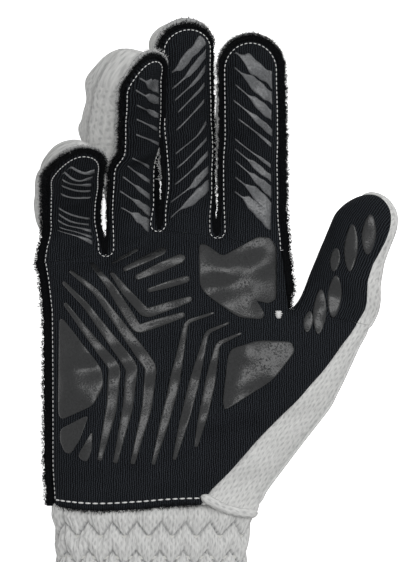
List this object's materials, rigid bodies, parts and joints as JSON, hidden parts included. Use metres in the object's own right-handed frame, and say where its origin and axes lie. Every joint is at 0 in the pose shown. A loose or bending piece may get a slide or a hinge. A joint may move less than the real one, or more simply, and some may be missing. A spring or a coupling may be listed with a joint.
{
  "type": "racing glove",
  "caption": "Right-hand knit racing glove with silicone palm grips, raw outside seams, side-walled fingers, gathered elastic wrist and cuff; fingers, thumb and wrist bend.",
  "frame": {"origin": "middle of the glove's footprint, on the surface that its back lies on", "axes": "+Y towards the fingertips, +X towards the thumb side, +Z out of the palm"},
  "size_m": [0.152, 0.2578, 0.0549],
  "materials": {
    "black_knit": "fine ribbed black knit",
    "white_knit": "white knit with small eyelets",
    "silicone": "glossy black silicone print",
    "elastic_rubber": "covered elastic cord",
    "hem_binding": "folded white binding"
  },
  "bodies": {
    "hand": {"palm_panel": "black_knit", "thumb_side_panel": "white_knit", "back_panel": "white_knit", "little_knuckle_fold": "black_knit", "ring_knuckle_fold": "black_knit", "middle_knuckle_fold": "black_knit", "index_knuckle_fold": "black_knit", "thumb_knuckle_fold": "black_knit", "wrist_gathers": "white_knit", "wrist_elastic_upper": "elastic_rubber", "wrist_elastic_middle": "elastic_rubber", "index_base_grip": "silicone", "thenar_grip": "silicone", "heel_grip_large": "silicone", "heel_grip_middle": "silicone", "heel_grip_small": "silicone"},
    "cuff": {"cuff_palm_side": "white_knit", "cuff_back": "white_knit", "cuff_hem": "hem_binding", "wrist_elastic_lower": "elastic_rubber"},
    "little_base": {"little_base_front": "black_knit", "little_middle_fold": "black_knit", "little_base_wall_little_side": "white_knit", "little_base_wall_thumb_side": "white_knit", "little_base_back": "white_knit"},
    "little_tip": {"little_tip_front": "black_knit", "little_tip_wall": "white_knit", "little_tip_back": "white_knit"},
    "ring_base": {"ring_base_front": "black_knit", "ring_middle_fold": "black_knit", "ring_base_wall_little_side": "white_knit", "ring_base_wall_thumb_side": "white_knit", "ring_base_back": "white_knit"},
    "ring_tip": {"ring_tip_front": "black_knit", "ring_tip_wall": "white_knit", "ring_tip_back": "white_knit"},
    "middle_base": {"middle_base_front": "black_knit", "middle_middle_fold": "black_knit", "middle_base_wall_little_side": "white_knit", "middle_base_wall_thumb_side": "white_knit", "middle_base_back": "white_knit"},
    "middle_tip": {"middle_tip_front": "black_knit", "middle_tip_wall": "white_knit", "middle_tip_back": "white_knit"},
    "index_base": {"index_base_front": "black_knit", "index_middle_fold": "black_knit", "index_base_wall_little_side": "white_knit", "index_base_wall_thumb_side": "white_knit", "index_base_back": "white_knit"},
    "index_tip": {"index_tip_front": "black_knit", "index_tip_wall": "white_knit", "index_tip_back": "white_knit"},
    "thumb_base": {"thumb_base_front": "black_knit", "thumb_middle_fold": "black_knit", "thumb_base_back": "white_knit"},
    "thumb_tip": {"thumb_tip_front": "black_knit", "thumb_tip_back": "white_knit"}
  },
  "joints": [
    {"name": "little_knuckle", "type": "hinge", "parent": "hand", "child": "little_base", "pos_m": [-0.05972, 0.04417, 0.0135], "axis": [0.9986, -0.0523, 0], "range_deg": [-10, 40], "deforming": ["little_knuckle_fold"]},
    {"name": "little_middle", "type": "hinge", "parent": "little_base", "child": "little_tip", "pos_m": [-0.06043, 0.06234, 0.02427], "axis": [0.9986, -0.0523, 0], "range_deg": [0, 45], "deforming": ["little_middle_fold"]},
    {"name": "ring_knuckle", "type": "hinge", "parent": "hand", "child": "ring_base", "pos_m": [-0.03587, 0.05125, 0.01351], "axis": [0.9993, -0.0384, 0], "range_deg": [-10, 50], "deforming": ["ring_knuckle_fold"]},
    {"name": "ring_middle", "type": "hinge", "parent": "ring_base", "child": "ring_tip", "pos_m": [-0.03641, 0.07623, 0.01989], "axis": [0.9993, -0.0384, 0], "range_deg": [0, 50], "deforming": ["ring_middle_fold"]},
    {"name": "middle_knuckle", "type": "hinge", "parent": "hand", "child": "middle_base", "pos_m": [-0.01231, 0.0552, 0.01295], "axis": [0.9999, 0.0105, 0], "range_deg": [-10, 60], "deforming": ["middle_knuckle_fold"]},
    {"name": "middle_middle", "type": "hinge", "parent": "middle_base", "child": "middle_tip", "pos_m": [-0.01282, 0.08399, 0.01406], "axis": [0.9999, 0.0105, 0], "range_deg": [0, 65], "deforming": ["middle_middle_fold"]},
    {"name": "index_knuckle", "type": "hinge", "parent": "hand", "child": "index_base", "pos_m": [0.01395, 0.05092, 0.01281], "axis": [0.9998, 0.0175, 0], "range_deg": [-10, 60], "deforming": ["index_knuckle_fold"]},
    {"name": "index_middle", "type": "hinge", "parent": "index_base", "child": "index_tip", "pos_m": [0.014, 0.07875, 0.01362], "axis": [0.9998, 0.0175, 0], "range_deg": [0, 65], "deforming": ["index_middle_fold"]},
    {"name": "thumb_knuckle", "type": "hinge", "parent": "hand", "child": "thumb_base", "pos_m": [0.051, 0.01731, 0.01421], "axis": [0.9317, -0.3633, 0], "range_deg": [-10, 45], "deforming": ["thumb_knuckle_fold"]},
    {"name": "thumb_middle", "type": "hinge", "parent": "thumb_base", "child": "thumb_tip", "pos_m": [0.05842, 0.0366, 0.01725], "axis": [0.9317, -0.3633, 0], "range_deg": [0, 55], "deforming": ["thumb_middle_fold"]},
    {"name": "wrist", "type": "hinge", "parent": "hand", "child": "cuff", "pos_m": [-0.0226, -0.08446, 0.01375], "axis": [-1, 0, 0], "range_deg": [-30, 40], "deforming": ["wrist_gathers", "wrist_elastic_upper", "wrist_elastic_middle", "wrist_elastic_lower"]}
  ]
}
